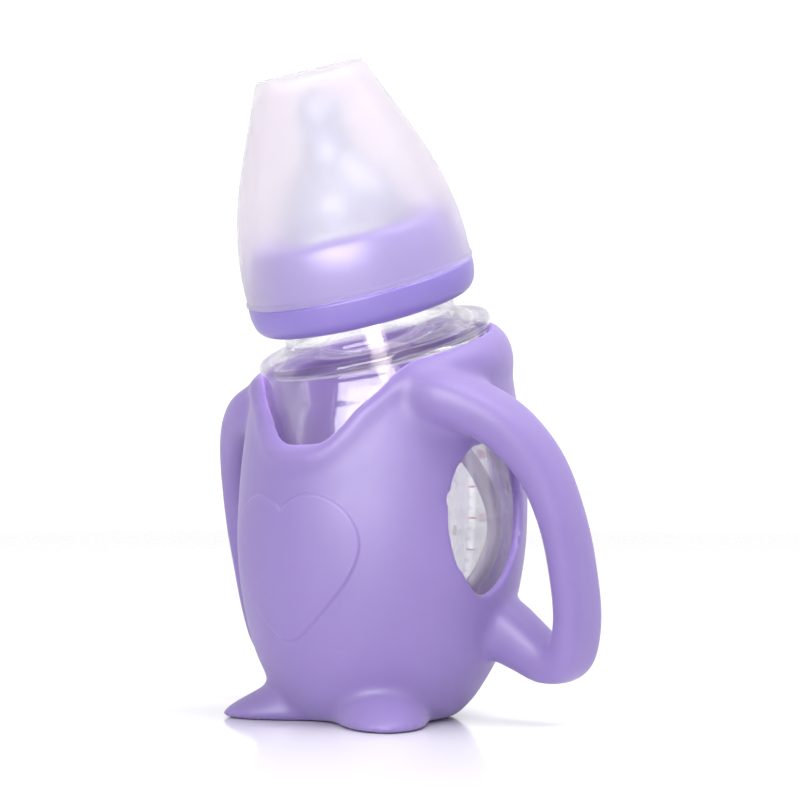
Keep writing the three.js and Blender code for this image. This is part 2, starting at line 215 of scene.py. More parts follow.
def prism(outline, axis, low, high):
    """A solid with an outline of (across, up) points, drawn through along X or Y."""
    bm = bmesh.new()
    place = (lambda a, z: (low, a, z)) if axis == "X" else (lambda a, z: (a, low, z))
    face = bm.faces.new([bm.verts.new(place(a, z)) for a, z in outline])
    made = bmesh.ops.extrude_face_region(bm, geom=[face])
    moved = [v for v in made["geom"] if isinstance(v, bmesh.types.BMVert)]
    step = Vector((high - low, 0, 0)) if axis == "X" else Vector((0, high - low, 0))
    bmesh.ops.translate(bm, vec=step, verts=moved)
    bmesh.ops.recalc_face_normals(bm, faces=bm.faces)
    return bm


def lofted(stations):
    """A closed strap through stations of (centre, tangent, half depth, half thickness)."""
    segments, squareness = 40, 0.72
    bm = bmesh.new()
    before = None
    for centre, tangent, depth, thick in stations:
        across = (Vector((0, 1, 0)) - tangent * tangent.y).normalized()
        out = tangent.cross(across)
        ring = bmesh.ops.create_circle(bm, segments=segments, radius=1)["verts"]
        for v in ring:
            angle = math.atan2(v.co.y, v.co.x)
            a, b = math.cos(angle), math.sin(angle)
            a, b = (math.copysign(abs(w) ** squareness, w) for w in (a, b))
            v.co = centre + across * a * depth + out * b * thick
        edges = list({e for v in ring for e in v.link_edges if e.other_vert(v) in ring})
        if before:
            bmesh.ops.bridge_loops(bm, edges=before + edges)
        before = edges
    open_edges = [e for e in bm.edges if e.is_boundary]
    bmesh.ops.holes_fill(bm, edges=open_edges)
    bmesh.ops.recalc_face_normals(bm, faces=bm.faces)
    return bm


def move_points(bm, rule):
    for v in bm.verts:
        v.co = rule(v.co)
    return bm


def on_neck(bm):
    """Puts a mesh made about its own Z axis on to the neck axis, with its zero at the shoulder ring."""
    bmesh.ops.transform(bm, matrix=TO_NECK, verts=bm.verts)
    return bm


def piece(name, bm, metres=True):
    """A smooth-shaded object from a mesh in millimetres."""
    if metres:
        bmesh.ops.scale(bm, vec=(MM, MM, MM), verts=bm.verts)
    mesh = bpy.data.meshes.new(name)
    bm.to_mesh(mesh)
    bm.free()
    mesh.shade_smooth()
    obj = bpy.data.objects.new(name, mesh)
    bpy.context.scene.collection.objects.link(obj)
    return obj


def to_metres(obj):
    obj.data.transform(Matrix.Scale(MM, 4))


def merged(parts):
    """One mesh that holds all the parts, each still a body of its own."""
    whole = bmesh.new()
    for part in parts:
        mesh = bpy.data.meshes.new("part")
        part.to_mesh(mesh)
        part.free()
        whole.from_mesh(mesh)
        bpy.data.meshes.remove(mesh)
    return whole


def settle(obj):
    """Applies the object's modifiers to its mesh."""
    graph = bpy.context.evaluated_depsgraph_get()
    mesh = bpy.data.meshes.new_from_object(obj.evaluated_get(graph))
    old = obj.data
    obj.modifiers.clear()
    obj.data = mesh
    mesh.name = obj.name
    bpy.data.meshes.remove(old)


def combine(obj, other, operation):
    """Joins another object to this one, or cuts it away, and removes it."""
    cut = obj.modifiers.new(operation, "BOOLEAN")
    cut.operation = operation
    cut.solver = "EXACT"
    cut.object = other
    settle(obj)
    bpy.data.objects.remove(other)


def finish_piece(obj, body, slot, material, *nodes):
    """Gives a piece its material and its body, and hides the imported parts for the nodes that it stands for.
    """
    obj.data.materials.clear()
    obj.data.materials.append(material)
    obj.data.shade_smooth()
    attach(obj, body)
    if nodes:
        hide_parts(*nodes)
    return obj


# ---- Materials ---------------------------------------------------------------------------------

def new_material(name, **values):
    """A material whose shader sockets are set by name, and its node tree."""
    material = bpy.data.materials.new(name)
    material.use_nodes = True
    shader = material.node_tree.nodes["Principled BSDF"]
    for socket, value in values.items():
        shader.inputs[socket.replace("_", " ")].default_value = value
    return material, material.node_tree, shader


def noise(tree, scale, detail):
    place = tree.nodes.new("ShaderNodeTexCoord")
    node = tree.nodes.new("ShaderNodeTexNoise")
    node.inputs["Scale"].default_value = scale
    node.inputs["Detail"].default_value = detail
    tree.links.new(place.outputs["Object"], node.inputs["Vector"])
    return node.outputs["Fac"]


def varied_colour(tree, shader, factor, dark, light):
    ramp = tree.nodes.new("ShaderNodeValToRGB")
    ramp.color_ramp.elements[0].position = 0.35
    ramp.color_ramp.elements[1].position = 0.65
    ramp.color_ramp.elements[0].color = (*dark, 1)
    ramp.color_ramp.elements[1].color = (*light, 1)
    tree.links.new(factor, ramp.inputs["Fac"])
    tree.links.new(ramp.outputs["Color"], shader.inputs["Base Color"])


def varied_roughness(tree, shader, factor, low, high):
    spread = tree.nodes.new("ShaderNodeMapRange")
    spread.inputs["To Min"].default_value = low
    spread.inputs["To Max"].default_value = high
    tree.links.new(factor, spread.inputs["Value"])
    tree.links.new(spread.outputs["Result"], shader.inputs["Roughness"])


def bumped(tree, shader, factor, strength, distance):
    bump = tree.nodes.new("ShaderNodeBump")
    bump.inputs["Strength"].default_value = strength
    bump.inputs["Distance"].default_value = distance
    tree.links.new(factor, bump.inputs["Height"])
    tree.links.new(bump.outputs["Normal"], shader.inputs["Normal"])


def silicone_lilac():
    material, tree, shader = new_material(
        "lilac_silicone", Subsurface_Weight=0.5, Subsurface_Scale=0.003, Sheen_Weight=0.12,
        Sheen_Roughness=0.5, IOR=1.43)
    shader.inputs["Subsurface Radius"].default_value = (1.0, 0.75, 1.2)
    varied_colour(tree, shader, noise(tree, 45, 2), (0.226, 0.164, 0.412), (0.240, 0.175, 0.430))
    varied_roughness(tree, shader, noise(tree, 260, 4), 0.46, 0.58)
    bumped(tree, shader, noise(tree, 2600, 2), 0.06, 0.0001)
    return material


def plastic_lilac():
    material, tree, shader = new_material("lilac_plastic", IOR=1.46, Subsurface_Weight=0.1,
                                          Subsurface_Scale=0.002)
    varied_colour(tree, shader, noise(tree, 60, 2), (0.205, 0.152, 0.455), (0.218, 0.162, 0.475))
    varied_roughness(tree, shader, noise(tree, 420, 3), 0.30, 0.38)
    bumped(tree, shader, noise(tree, 1900, 2), 0.04, 0.0001)
    return material


def let_light_in(tree, shader, open_share):
    """Lets light through to what is inside a clear or frosted piece, and shows a share of it unbent."""
    path = tree.nodes.new("ShaderNodeLightPath")
    either = tree.nodes.new("ShaderNodeMath")
    either.operation = "MAXIMUM"
    clear = tree.nodes.new("ShaderNodeBsdfTransparent")
    mix = tree.nodes.new("ShaderNodeMixShader")
    tree.links.new(path.outputs["Is Shadow Ray"], either.inputs[0])
    tree.links.new(path.outputs["Is Diffuse Ray"], either.inputs[1])
    least = tree.nodes.new("ShaderNodeMath")
    least.operation = "MAXIMUM"
    least.inputs[1].default_value = open_share
    tree.links.new(either.outputs["Value"], least.inputs[0])
    tree.links.new(least.outputs["Value"], mix.inputs["Fac"])
    tree.links.new(shader.outputs["BSDF"], mix.inputs[1])
    tree.links.new(clear.outputs["BSDF"], mix.inputs[2])
    tree.links.new(mix.outputs["Shader"], tree.nodes["Material Output"].inputs["Surface"])


def glass_clear():
    material, tree, shader = new_material(
        "clear_glass", Base_Color=(0.97, 0.975, 0.98, 1), Transmission_Weight=1.0, IOR=1.42)
    varied_roughness(tree, shader, noise(tree, 90, 3), 0.0, 0.01)
    bumped(tree, shader, noise(tree, 30, 1), 0.02, 0.0001)
    let_light_in(tree, shader, 0.42)
    return material


def plastic_frosted():
    material, tree, shader = new_material(
        "frosted_plastic", Transmission_Weight=0.86, IOR=1.17)
    varied_colour(tree, shader, noise(tree, 55, 2), (0.775, 0.725, 0.790), (0.805, 0.758, 0.820))
    varied_roughness(tree, shader, noise(tree, 300, 3), 0.54, 0.60)
    bumped(tree, shader, noise(tree, 2400, 2), 0.08, 0.0001)
    let_light_in(tree, shader, 0.28)
    return material


def silicone_clear():
    material, tree, shader = new_material("clear_silicone", Transmission_Weight=0.8, IOR=1.25)
    varied_colour(tree, shader, noise(tree, 70, 2), (0.64, 0.67, 0.77), (0.70, 0.73, 0.82))
    varied_roughness(tree, shader, noise(tree, 240, 3), 0.30, 0.38)
    bumped(tree, shader, noise(tree, 900, 2), 0.04, 0.0001)
    let_light_in(tree, shader, 0.25)
    return material


def plastic_white():
    material, tree, shader = new_material("white_plastic", IOR=1.46, Subsurface_Weight=0.2,
                                          Subsurface_Scale=0.002)
    varied_colour(tree, shader, noise(tree, 80, 2), (0.80, 0.79, 0.76), (0.86, 0.85, 0.83))
    varied_roughness(tree, shader, noise(tree, 400, 3), 0.30, 0.42)
    bumped(tree, shader, noise(tree, 1600, 2), 0.05, 0.0001)
    return material


def silicone_cream():
    material, tree, shader = new_material("cream_silicone", Transmission_Weight=0.35, IOR=1.3)
    varied_colour(tree, shader, noise(tree, 90, 2), (0.60, 0.59, 0.57), (0.66, 0.65, 0.63))
    varied_roughness(tree, shader, noise(tree, 350, 3), 0.25, 0.35)
    bumped(tree, shader, noise(tree, 1400, 2), 0.05, 0.0001)
    let_light_in(tree, shader, 0.2)
    return material


def steel_polished():
    material, tree, shader = new_material("steel", Metallic=1.0)
    varied_colour(tree, shader, noise(tree, 300, 3), (0.60, 0.60, 0.62), (0.68, 0.68, 0.70))
    varied_roughness(tree, shader, noise(tree, 900, 4), 0.12, 0.22)
    return material


def print_ink(name, dark, light):
    material, tree, shader = new_material(name, IOR=1.5)
    varied_colour(tree, shader, noise(tree, 1500, 3), dark, light)
    varied_roughness(tree, shader, noise(tree, 1200, 2), 0.35, 0.5)
    return material


# ---- Silicone sleeve ---------------------------------------------------------------------------

def rim_height(angle):
    """The height of the sleeve's rim by the angle from the front."""
    return NECKLINE_BOTTOM + (RIM_HEIGHT - NECKLINE_BOTTOM) * ease(0.10, 0.90, abs(angle - NECKLINE_TURN))


def follow_neckline(p):
    """Squeezes the part above a fixed height so that its top follows the neckline, then bends it."""
    fixed = 50
    radius = math.hypot(p.x, p.y)
    if p.z <= fixed or radius < 1:
        return bend_point(p)
    angle = math.atan2(p.x, -p.y)
    rim = rim_height(angle)
    width = BAND_WIDTH + 3.5 * ease(0.2, 1.0, abs(angle))
    band_start = RIM_HEIGHT - BAND_WIDTH
    if p.z > band_start:
        s = rim + (p.z - RIM_HEIGHT) * width / BAND_WIDTH
    else:
        s = fixed + (p.z - fixed) * (rim - width - fixed) / (band_start - fixed)
    moved = radius + body_radius(s) - body_radius(p.z)
    return bend_point(Vector((p.x * moved / radius, p.y * moved / radius, s)))


def sleeve_blank():
    """The body shell with a thick wall, which the inside is cut from afterwards."""
    thick = 7
    band_start = RIM_HEIGHT - BAND_WIDTH
    heights = [3 + 2 * i for i in range(1, 47) if 3 + 2 * i < band_start]
    outer = [(body_radius(s), s) for s in heights]
    inner = [(body_radius(s) - thick, s) for s in heights if s > 12]
    band = []
    for i in range(15):
        part = i / 14
        s = band_start + BAND_WIDTH * part
        swell = math.sin(math.pi * min(part * 1.12, 1)) ** 0.8
        roll = 1.6 * max(part - 0.78, 0) / 0.22
        band.append((body_radius(s) + BAND_RISE * swell - roll, s))
    base = rounded([(0, 0), (BASE_RADIUS + 1.6, 0, 2.6), (body_radius(5), 5)])
    lip = [(body_radius(RIM_HEIGHT) - thick, RIM_HEIGHT)]
    floor = [(BASE_RADIUS - 4, 10), (0, 9)]
    profile = [*base, *outer, *band, *lip, *reversed(inner), *floor]
    return move_points(spun(profile, 180), follow_neckline)


def cavity():
    """The space that the glass bottle fills, open above the rim."""
    heights = [8 + 2 * i for i in range(46)]
    wall = [(body_radius(s) - SLEEVE_WALL, s) for s in heights]
    base = [(0, SLEEVE_WALL), (BASE_RADIUS - 2, SLEEVE_WALL), (BASE_RADIUS + 1.4, 4.2)]
    top = [(body_radius(100) - SLEEVE_WALL, 106), (0, 106)]
    return move_points(spun([*base, *wall, *top], 180), bend_point)


# Each wing's stations: centre, half depth (front to back) and half thickness
WING_STATIONS = [
    ((23, -8, 86), 10.5, 6.5), ((31, -8.2, 84), 12.2, 6.8), ((39.5, -5.4, 80.8), 11, 6.4),
    ((47.2, -1.6, 75), 9.2, 5.9), ((53.3, 3.0, 65.5), 7.9, 5.3), ((56.5, 7.4, 52), 7.6, 4.7),
    ((57.0, 11, 39), 7.7, 4.5), ((56.3, 13.6, 27), 7.8, 4.5), ((53.2, 14.8, 17.6), 7.6, 4.9),
    ((47.3, 14.6, 15.8), 7.4, 5.6), ((40.5, 14, 19.6), 7.8, 6.8), ((33.5, 12.6, 24.0), 8.6, 8.2),
    ((27, 11, 27), 8.8, 8.6),
]


def wing(side):
    places = smooth_row([centre for centre, _, _ in WING_STATIONS], 6)
    sizes = smooth_row([(depth, thick, 0) for _, depth, thick in WING_STATIONS], 6)
    stations = []
    for place, tangent, size in zip(places, tangents(places), sizes):
        stations.append((place, tangent, size.x, size.y))
    bm = lofted(stations)
    if side < 0:
        bmesh.ops.scale(bm, vec=(-1, 1, 1), verts=bm.verts)
        bmesh.ops.recalc_face_normals(bm, faces=bm.faces)
    return bm


def foot(side):
    """A flat penguin foot: an egg that thins towards the toe, cut off at the floor."""
    bm = bmesh.new()
    bmesh.ops.create_uvsphere(bm, u_segments=64, v_segments=40, radius=1)
    bmesh.ops.scale(bm, vec=(12.6, 24.2, 12), verts=bm.verts)
    for v in bm.verts:
        v.co.z *= 1 - 0.42 * ease(-2, -24, v.co.y)
    bmesh.ops.translate(bm, vec=(0, -17.5, 0), verts=bm.verts)
    bmesh.ops.rotate(bm, matrix=Matrix.Rotation(side * FOOT_SPLAY, 3, "Z"), verts=bm.verts)
    cut = bmesh.ops.bisect_plane(bm, geom=[*bm.verts, *bm.edges, *bm.faces], plane_co=(0, 0, 0),
                                 plane_no=(0, 0, -1), clear_outer=True)
    edges = [e for e in cut["geom_cut"] if isinstance(e, bmesh.types.BMEdge)]
    bmesh.ops.holes_fill(bm, edges=edges)
    bmesh.ops.recalc_face_normals(bm, faces=bm.faces)
    return bm


SIDE_WINDOW = [(-1, 33.4), (8, 37), (14.6, 46), (16, 57), (12.4, 67), (4, 72), (-5, 70.2), (-11, 62),
               (-12.5, 52), (-9, 41)]
BACK_WINDOW = [(0, 26), (9, 33), (12.5, 50), (12.5, 66), (9, 81), (0, 87), (-9, 81), (-12.5, 66),
               (-12.5, 50), (-9, 33)]


def ring_outline(points, per=8):
    """A smooth closed outline through the points."""
    count = len(points)
    row = smooth_row([(*p, 0) for p in [points[-2], points[-1], *points, points[0], points[1]]], per)
    return [(p.x, p.y) for p in row[2 * per:(count + 2) * per]]


# The right half of the heart's outline: distance round the belly, height
HEART = [(0, 54.8), (2.6, 57), (7.5, 58.9), (13.2, 58.2), (18.4, 54.9), (21.6, 50.2), (22.4, 45.2),
         (20.4, 39.2), (16, 33.2), (9.4, 26.8), (4, 22.9), (0, 21.8)]


def heart_side(p, outline):
    """How far a belly point (round, height) is inside the heart's outline, in millimetres."""
    point = Vector((abs(p[0]), p[1]))
    nearest, inside = 1e9, False
    for a, b in zip(outline, outline[1:]):
        along = min(max((point - a).dot(b - a) / (b - a).length_squared, 0), 1)
        nearest = min(nearest, (point - a - (b - a) * along).length)
        if (a.y > point.y) != (b.y > point.y):
            crossing = a.x + (point.y - a.y) * (b.x - a.x) / (b.y - a.y)
            inside ^= point.x < crossing
    return nearest if inside else -nearest


def emboss_heart(bm):
    """Raises the heart on the belly by a soft step, on a mesh that is made finer along its edge."""
    outline = [p.xy for p in smooth_row([(*p, 0) for p in HEART], 6)]
    belly_radius = 39

    def belly(co):
        y, z = co.y - LEAN * min(co.z, LEAN_END), co.z
        radius = math.hypot(co.x, y)
        if y > -10 or not 16 < z < 64 or radius < body_radius(z) - 1.2:
            return None
        return belly_radius * math.atan2(co.x, -y), z

    for reach in (2.4, 1.3):
        near = {}
        for v in bm.verts:
            place = belly(v.co)
            near[v] = bool(place) and abs(heart_side(place, outline)) < reach
        edges = [e for e in bm.edges if near[e.verts[0]] and near[e.verts[1]]]
        bmesh.ops.subdivide_edges(bm, edges=edges, cuts=1, use_grid_fill=True)
    bm.normal_update()
    rises = []
    for v in bm.verts:
        place = belly(v.co)
        if place:
            rises.append((v, HEART_RISE * ease(-0.5, 0.4, heart_side(place, outline))))
    for v, rise in rises:
        out = Vector((v.co.x, v.co.y - LEAN * min(v.co.z, LEAN_END), 0)).normalized()
        v.co += out * rise


def silicone_sleeve():
    """One moulding: the body shell, both wings and both feet run into each other, with the windows cut."""
    solids = merged([sleeve_blank(), wing(1), wing(-1), foot(1), foot(-1)])
    sleeve = piece("silicone_sleeve", solids, metres=False)
    remesh(sleeve, VOXEL, 8)
    cuts = [cavity(), prism(ring_outline(SIDE_WINDOW), "X", 22, 45),
            prism(ring_outline(SIDE_WINDOW), "X", -45, -22), prism(ring_outline(BACK_WINDOW), "Y", 10, 70)]
    for cut in cuts:
        combine(sleeve, piece("cut", cut, metres=False), "DIFFERENCE")
    remesh(sleeve, VOXEL, 5)
    bm = bmesh.new()
    bm.from_mesh(sleeve.data)
    emboss_heart(bm)
    for v in bm.verts:
        v.co.z = max(v.co.z, 0)
    bmesh.ops.scale(bm, vec=(MM, MM, MM), verts=bm.verts)
    bm.to_mesh(sleeve.data)
    bm.free()
    return finish_piece(sleeve, "bottle", "lilac_silicone", LOOKS["lilac_silicone"], "silicone_sleeve_shell",
                        "right_wing_handle", "left_wing_handle", "right_foot", "left_foot")


def remesh(obj, size, passes):
    """Turns overlapping solids into one even skin and eases its creases."""
    skin = obj.modifiers.new("skin", "REMESH")
    skin.mode = "VOXEL"
    skin.voxel_size = size
    settle(obj)
    bm = bmesh.new()
    bm.from_mesh(obj.data)
    for _ in range(passes):
        bmesh.ops.smooth_vert(bm, verts=bm.verts, factor=0.5, use_axis_x=True, use_axis_y=True,
                              use_axis_z=True)
    bm.to_mesh(obj.data)
    bm.free()


# ---- Glass bottle ------------------------------------------------------------------------------

def glass_radius(s):
    return body_radius(s) - SLEEVE_WALL - GAP


def glass_bottle():
    foot_height = SLEEVE_WALL + GAP
    base = rounded([(0, foot_height + 1.8), (12, foot_height + 1.2, 4), (15, foot_height, 2),
                    (BASE_RADIUS + 0.6, foot_height + 0.3, 2.4), (glass_radius(8), 8)])
    heights = [10 + 2 * i for i in range(45)]
    wall = [(glass_radius(s), s) for s in heights]
    ring = smooth_row([(30.9, BEND_END - 1.8, 0), (31.8, BEND_END - 0.9, 0), (32.2, BEND_END + 0.4, 0),
                       (31.4, BEND_END + 1.7, 0), (29.2, BEND_END + 2.3, 0), (26.4, BEND_END + 2.8, 0),
                       (24.6, BEND_END + 3.6, 0), (23.8, BEND_END + 5, 0), (NECK_RADIUS, BEND_END + 7, 0)], 5)
    lip = rounded([(NECK_RADIUS, BEND_END + 20), (NECK_RADIUS, BEND_END + NECK_TOP, 1),
                   (NECK_RADIUS - GLASS_WALL, BEND_END + NECK_TOP, 0.8),
                   (NECK_RADIUS - GLASS_WALL, BEND_END + 14)])
    throat = smooth_row([(21.3, BEND_END + 7, 0), (21.6, BEND_END + 3.4, 0), (23, BEND_END + 1, 0),
                         (26, BEND_END - 0.4, 0), (28.2, BEND_END - 1.8, 0), (29, BEND_END - 3.4, 0),
                         (glass_radius(96.5) - GLASS_WALL, 96.5, 0)], 5)
    inside = [(glass_radius(s) - GLASS_WALL, s) for s in reversed(heights) if s < 96]
    floor = rounded([(glass_radius(10) - GLASS_WALL, 10), (BASE_RADIUS - 1, 7.3, 3), (9, 6.9, 3), (0, 7.4)])
    profile = [*base, *wall, *ring, *lip, *throat, *inside[:-1], *floor]
    obj = piece("glass_bottle_smooth", move_points(spun(profile, 144), bend_point), metres=False)
    rib = on_neck(screw_rib(NECK_RADIUS, THREAD_DEPTH, BOTTLE_THREAD_START))
    combine(obj, piece("rib", rib, metres=False), "UNION")
    to_metres(obj)
    return finish_piece(obj, "bottle", "clear_glass", LOOKS["clear_glass"], "glass_bottle")


# ---- Pieces on the neck ------------------------------------------------------------------------

def screw_collar():
    bore = NECK_RADIUS + THREAD_DEPTH + 0.5
    step = CAP_RADIUS - CAP_WALL - GAP
    shelf = NECK_TOP + 2.6
    profile = rounded([
        (bore, COLLAR_BOTTOM + 4), (bore, COLLAR_BOTTOM, 0.5), (28.2, COLLAR_BOTTOM, 1.6),
        (30.3, COLLAR_BOTTOM + 2.2, 2.4), (CAP_RADIUS, COLLAR_BOTTOM + 5.6, 2),
        (CAP_RADIUS, SEAM - 0.2, 0.5), (step, SEAM - 0.2, 0.15), (step - 0.2, 22, 3), (step - 0.7, 26, 3),
        (step - 1.9, 30, 3), (step - 3.2, COLLAR_TOP, 1.2), (TEAT_HOLE, COLLAR_TOP, 0.7),
        (TEAT_HOLE, shelf, 0.4), (bore, shelf, 0.5), (bore, COLLAR_BOTTOM + 4),
    ])
    obj = piece("screw_collar_smooth", on_neck(spun(profile, 160)), metres=False)
    rib = on_neck(screw_rib(bore, 0.1 - THREAD_DEPTH, COLLAR_THREAD_START + collar_phase()))
    combine(obj, piece("rib", rib, metres=False), "UNION")
    to_metres(obj)
    return finish_piece(obj, "collar", "lilac_plastic", LOOKS["lilac_plastic"], "screw_collar")


def collar_phase():
    """Sets the collar's thread half a pitch from the bottle's."""
    return THREAD_PITCH / 2 - (COLLAR_THREAD_START - BOTTLE_THREAD_START) % THREAD_PITCH


def dome_cap():
    side = smooth_row([(30.9, SEAM + 1.9, 0), (30.7, 26, 0), (29.9, 33, 0), (28.4, 40, 0), (25.9, 48, 0),
                       (22.7, 56, 0), (19.2, 64, 0), (15.5, 72.4, 0)], 6)
    rim = rounded([(CAP_RADIUS - CAP_WALL, SEAM + 1.2), (CAP_RADIUS - CAP_WALL, SEAM + 0.1, 0.3),
                   (CAP_RADIUS + 0.2, SEAM + 0.1, 0.5), (CAP_RADIUS + 0.25, SEAM + 1.3, 0.4),
                   (30.9, SEAM + 1.8)])
    top = rounded([(15.2, 73.1), (14.3, CAP_TOP, 2.0), (0, CAP_TOP)])
    under = rounded([(0, CAP_TOP - CAP_WALL), (12.9, CAP_TOP - CAP_WALL, 1.2), (13.9, 71.8)])
    inside = [(p.x - CAP_WALL, p.y) for p in reversed(side) if p.y < 71.5]
    profile = [*rim, *side, *top, *under, *inside, rim[0]]
    obj = piece("dome_cap_smooth", on_neck(spun(profile, 160)), metres=False)
    notch = bmesh.new()
    bmesh.ops.create_cube(notch, size=1)
    bmesh.ops.scale(notch, vec=(6, 2.4, 0.8), verts=notch.verts)
    bmesh.ops.translate(notch, vec=(0, -CAP_RADIUS - 0.9, SEAM + 0.4), verts=notch.verts)
    bmesh.ops.rotate(notch, matrix=Matrix.Rotation(NOTCH_TURN, 3, "Z"), verts=notch.verts)
    combine(obj, piece("notch", on_neck(notch), metres=False), "DIFFERENCE")
    to_metres(obj)
    return finish_piece(obj, "cap", "frosted_plastic", LOOKS["frosted_plastic"], "dome_cap")


def teat():
    flange = NECK_TOP + GAP
    outer = smooth_row([(17.4, flange + 5, 0), (17.2, 36, 0), (15.6, 42, 0), (11.6, 47.5, 0), (8, 52, 0),
                        (6.6, 57, 0), (6.4, 63, 0), (5, 67.6, 0), (1.8, 69.6, 0), (0.6, 69.8, 0)], 6)
    inner = smooth_row([(0.6, 67.2, 0), (1.4, 67.3, 0), (3.6, 66, 0), (4.8, 62, 0), (5, 57, 0),
                        (6.4, 51.4, 0), (10, 46.4, 0), (13.8, 41.4, 0), (15.4, 36, 0),
                        (15.4, flange + 4, 0)], 6)
    ring = rounded([(15.4, flange + 3), (15.4, flange, 0.4), (22.4, flange, 0.6), (22.4, flange + 2, 0.6),
                    (17.6, flange + 2, 0.8), (17.4, flange + 4.6)])
    obj = piece("teat_smooth", on_neck(spun([*outer, *inner, *ring, outer[0]], 128)))
    return finish_piece(obj, "teat_set", "clear_silicone", LOOKS["clear_silicone"], "teat")


def straw_adaptor():
    bottom = NECK_TOP - 9
    disc = NECK_TOP - 1.6
    profile = ring_profile([
        (0.6, bottom), (0.95, bottom, 0.1), (0.95, disc - 1.6, 0.2), (3.4, disc - 1.6, 0.3),
        (3.4, disc - 0.8, 0.3), (14.6, disc - 0.8, 0.3), (20.6, disc - 0.8, 0.4), (20.6, disc + 1, 0.4),
        (14.6, disc + 1, 0.3), (14.6, NECK_TOP + 4, 0.4), (13.4, NECK_TOP + 4, 0.4), (13.4, disc + 1.4, 0.5),
        (3, disc + 1.4, 0.4), (3, disc + 3.6, 0.4), (0.6, disc + 3.6, 0.3),
    ])
    obj = piece("straw_adaptor_smooth", on_neck(spun(profile, 96)), metres=False)
    for i in range(4):
        vent = bmesh.new()
        bmesh.ops.create_cone(vent, cap_ends=True, segments=32, radius1=VENT_RADIUS, radius2=VENT_RADIUS,
                              depth=8)
        bmesh.ops.translate(vent, vec=(VENT_REACH, 0, NECK_TOP), verts=vent.verts)
        turn = Matrix.Rotation((i + 0.5) * TURN / 4, 3, "Z")
        bmesh.ops.rotate(vent, matrix=turn, verts=vent.verts)
        combine(obj, piece("vent", on_neck(vent), metres=False), "DIFFERENCE")
    to_metres(obj)
    return finish_piece(obj, "teat_set", "white_plastic", LOOKS["white_plastic"], "straw_adaptor")


# ---- Straw and weight --------------------------------------------------------------------------

def neck_point(t):
    return tuple(bend_point(Vector((0, 0, BEND_END + t))))


TUBE_ROUTE = [
    neck_point(NECK_TOP - 3.6), neck_point(8), (0.4, -0.4, 100), (2.6, 1.6, 92), (10, 9, 81),
    (18.2, 17.6, 69), (22.4, 22.6, 56), (22.4, 22.2, 45), (17.8, 18.6, 34.4), (10.4, 13, 26.4),
    (3.4, 8.2, 21.8),
]


def straw_tube():
    """A round tube drawn along its route, with its wall turned inwards."""
    route = smooth_row(TUBE_ROUTE, 8)
    bm = bmesh.new()
    before = None
    across = Vector((1, 0, 0))
    for place, tangent in zip(route, tangents(route)):
        across = (across - tangent * across.dot(tangent)).normalized()
        out = tangent.cross(across)
        ring = bmesh.ops.create_circle(bm, segments=32, radius=1)["verts"]
        for v in ring:
            v.co = place + (across * v.co.x + out * v.co.y) * TUBE_RADIUS
        edges = list({e for v in ring for e in v.link_edges if e.other_vert(v) in ring})
        if before:
            bmesh.ops.bridge_loops(bm, edges=before + edges)
        before = edges
    bmesh.ops.recalc_face_normals(bm, faces=bm.faces)
    obj = piece("straw_tube_smooth", bm)
    wall = obj.modifiers.new("wall", "SOLIDIFY")
    wall.thickness = (TUBE_RADIUS - TUBE_BORE) * MM
    wall.offset = -1
    settle(obj)
    return finish_piece(obj, "straw", "cream_silicone", LOOKS["cream_silicone"], "straw_tube")


def at_tube_end(bm):
    """Puts a weight piece, made about Z with its tube end up, at the end of the tube."""
    route = smooth_row(TUBE_ROUTE, 8)
    up = (route[-2] - route[-1]).normalized()
    turn = Vector((0, 0, 1)).rotation_difference(up).to_matrix().to_4x4()
    bmesh.ops.transform(bm, matrix=Matrix.Translation(route[-1]) @ turn, verts=bm.verts)
    return bm


def weight():
    r = HOUSING_RADIUS
    upper = ring_profile([
        (TUBE_RADIUS + GAP, 2), (TUBE_RADIUS + GAP, -0.4, 0.1), (1, -0.4, 0.1), (1, -1.6, 0.1),
        (4.4, -2.6, 0.6), (r - 1.2, -4.4, 1.4), (r - 1.2, -7.2, 0.2), (r, -7.2, 0.2), (r, -3.6, 1.8),
        (5.4, -1.4, 0.9), (TUBE_RADIUS + 1.6, 0.4, 0.8), (TUBE_RADIUS + 1.4, 3, 0.3),
        (TUBE_RADIUS + GAP, 3, 0.3),
    ])
    lower = ring_profile([
        (r - 1.2, -8), (r - 1.2, -9.6, 1), (4.6, -11.4, 1), (3.2, -12.4, 0.8), (1.4, -12.9, 0.3),
        (1.4, -14.2, 0.4), (3.6, -13.8, 1), (5.6, -12.4, 1.2), (r, -10, 1.4), (r, -7.5, 0.2),
        (r - 1.2, -7.5, 0.2),
    ])
    for name, profile, node in (("weight_upper_smooth", upper, "weight_housing_upper"),
                                ("weight_lower_smooth", lower, "weight_housing_lower")):
        bm = at_tube_end(spun(profile, 72))
        finish_piece(piece(name, bm), "straw", "white_plastic", LOOKS["white_plastic"], node)
    ball = bmesh.new()
    bmesh.ops.create_uvsphere(ball, u_segments=48, v_segments=28, radius=BALL_RADIUS)
    bmesh.ops.translate(ball, vec=(0, 0, -7.6), verts=ball.verts)
    obj = piece("weight_ball_smooth", at_tube_end(ball))
    finish_piece(obj, "straw", "steel", LOOKS["steel"], "weight_ball")


# ---- Printed scale -----------------------------------------------------------------------------

def on_glass(across, height):
    """A point just off the glass at the back, by its distance from the middle and its height."""
    radius = glass_radius(height) + 0.06
    angle = across / radius
    y = LEAN * min(height, LEAN_END) + radius * math.cos(angle)
    return Vector((-radius * math.sin(angle), y, height))


def flat_mark(points):
    bm = bmesh.new()
    bm.faces.new([bm.verts.new((*p, 0)) for p in points])
    bmesh.ops.triangulate(bm, faces=bm.faces)
    bmesh.ops.subdivide_edges(bm, edges=bm.edges, cuts=2, use_grid_fill=True)
    return bm


